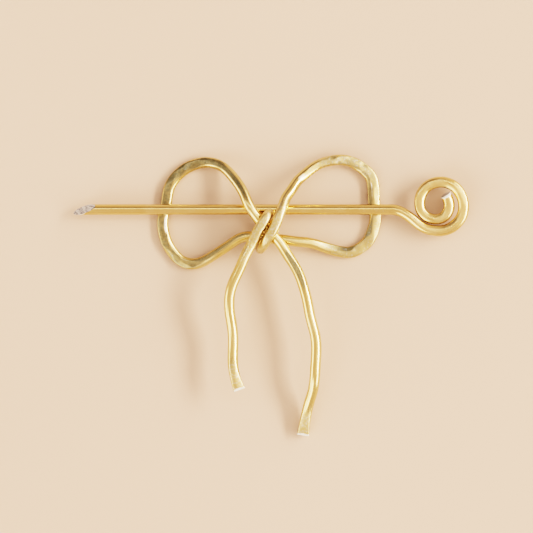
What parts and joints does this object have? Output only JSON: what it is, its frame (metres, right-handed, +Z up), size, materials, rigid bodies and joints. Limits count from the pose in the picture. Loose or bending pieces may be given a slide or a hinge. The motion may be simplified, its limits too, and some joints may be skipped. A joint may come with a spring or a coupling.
{
  "type": "shawl pin",
  "caption": "Bow-shaped shawl pin of knotted, hammered wire, with a straight wire stick that slides through its loops and ends in a flat coil.",
  "frame": {"origin": "on the surface that the pin lies on, under the middle of the whole pin", "axes": "+X along the stick from its tip to its coil, +Y across the bow from its tails to its loops, +Z up from the surface"},
  "size_m": [0.1088, 0.0774, 0.0121],
  "materials": {
    "gold_wire": "gold-coloured, polished, hammered flatter on the loops' outer arcs, the tail ends and the coil"
  },
  "bodies": {
    "bow": {"bow": "gold_wire"},
    "stick": {"stick": "gold_wire"}
  },
  "joints": [
    {"name": "stick_slide", "type": "slide", "parent": "bow", "child": "stick", "axis": [1, 0, 0], "range_m": [-0.01, 0.075]}
  ]
}
